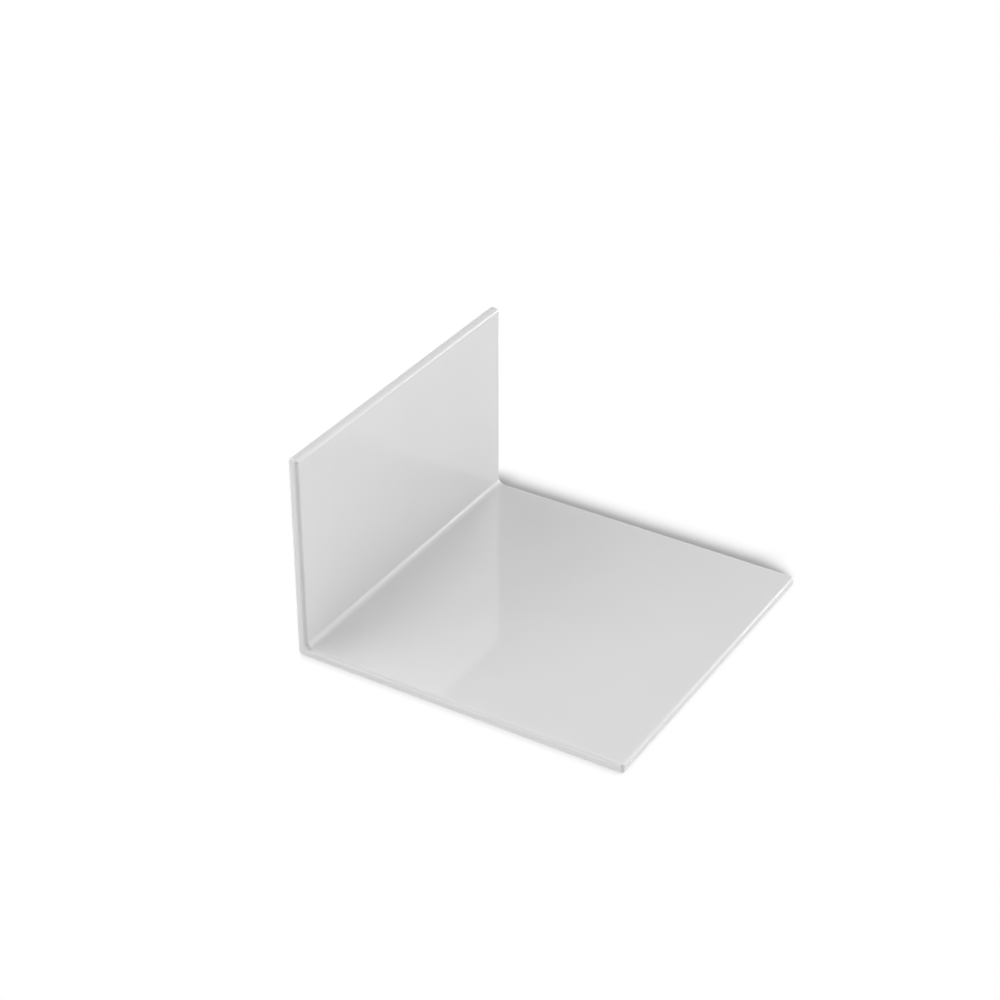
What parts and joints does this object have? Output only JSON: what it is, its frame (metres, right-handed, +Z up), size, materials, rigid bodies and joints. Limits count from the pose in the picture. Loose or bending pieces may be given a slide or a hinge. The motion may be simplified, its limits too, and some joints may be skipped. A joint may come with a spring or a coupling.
{
  "type": "glass retaining angle",
  "caption": "Short L-shaped angle in white coated metal: one leg lies flat, and the shorter leg stands up to hold the edge of a glass pane.",
  "frame": {"origin": "middle of the underside of the base leg", "axes": "+X along the base leg, away from the upright; +Y along the bend; +Z up, along the upright"},
  "size_m": [0.065, 0.065, 0.04],
  "materials": {
    "coat": "smooth glossy white powder coat"
  },
  "bodies": {
    "root": {"angle": "coat"}
  },
  "joints": []
}
